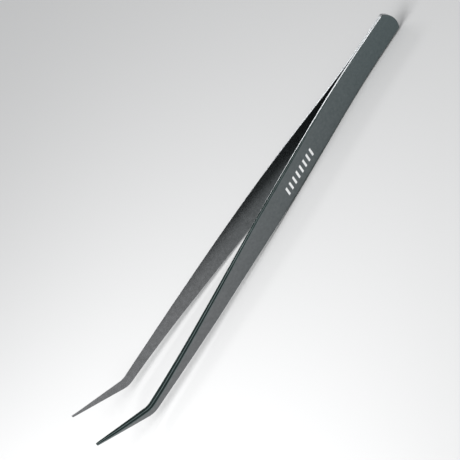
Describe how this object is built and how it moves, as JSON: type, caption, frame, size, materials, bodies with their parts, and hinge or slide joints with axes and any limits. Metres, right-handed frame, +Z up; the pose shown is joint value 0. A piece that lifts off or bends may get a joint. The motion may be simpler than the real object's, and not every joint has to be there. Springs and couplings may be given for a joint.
{
  "type": "aquascaping tweezers",
  "caption": "Long spring tweezers with bent fine tips: mirrored coated steel blades joined face to face at a rounded head, tapering, bevelled and closing together under a squeeze.",
  "frame": {"origin": "under the middle of the object's length, on the surface that the tweezers lie on, in the middle plane between the blades", "axes": "+X from the head towards the tips, +Y the way the front blade opens, +Z up, across the strip, the way the tips bend"},
  "size_m": [0.2466, 0.0346, 0.0217],
  "materials": {
    "coated_steel": "matte dark grey coating on spring steel",
    "weld_metal": "bare weld metal inside the head",
    "white_print": "white screen print on the front blade's outer face"
  },
  "bodies": {
    "head": {"front_blade_head": "coated_steel", "rear_blade_head": "coated_steel", "spot_welds": "weld_metal"},
    "front_arm": {"front_blade_arm": "coated_steel"},
    "rear_arm": {"rear_blade_arm": "coated_steel"}
  },
  "joints": [
    {"name": "front_flex", "type": "hinge", "parent": "head", "child": "front_arm", "pos_m": [-0.06581, 0.00245, 0.0067], "axis": [0, 0, -1], "range_deg": [0, 4.77], "stiffness_Nm_per_rad": 4},
    {"name": "rear_flex", "type": "hinge", "parent": "head", "child": "rear_arm", "pos_m": [-0.06581, -0.00245, 0.0067], "axis": [0, 0, 1], "range_deg": [0, 4.77], "stiffness_Nm_per_rad": 4}
  ],
  "couplings": [
    {"joint": "rear_flex", "follows": "front_flex", "ratio": 1}
  ]
}
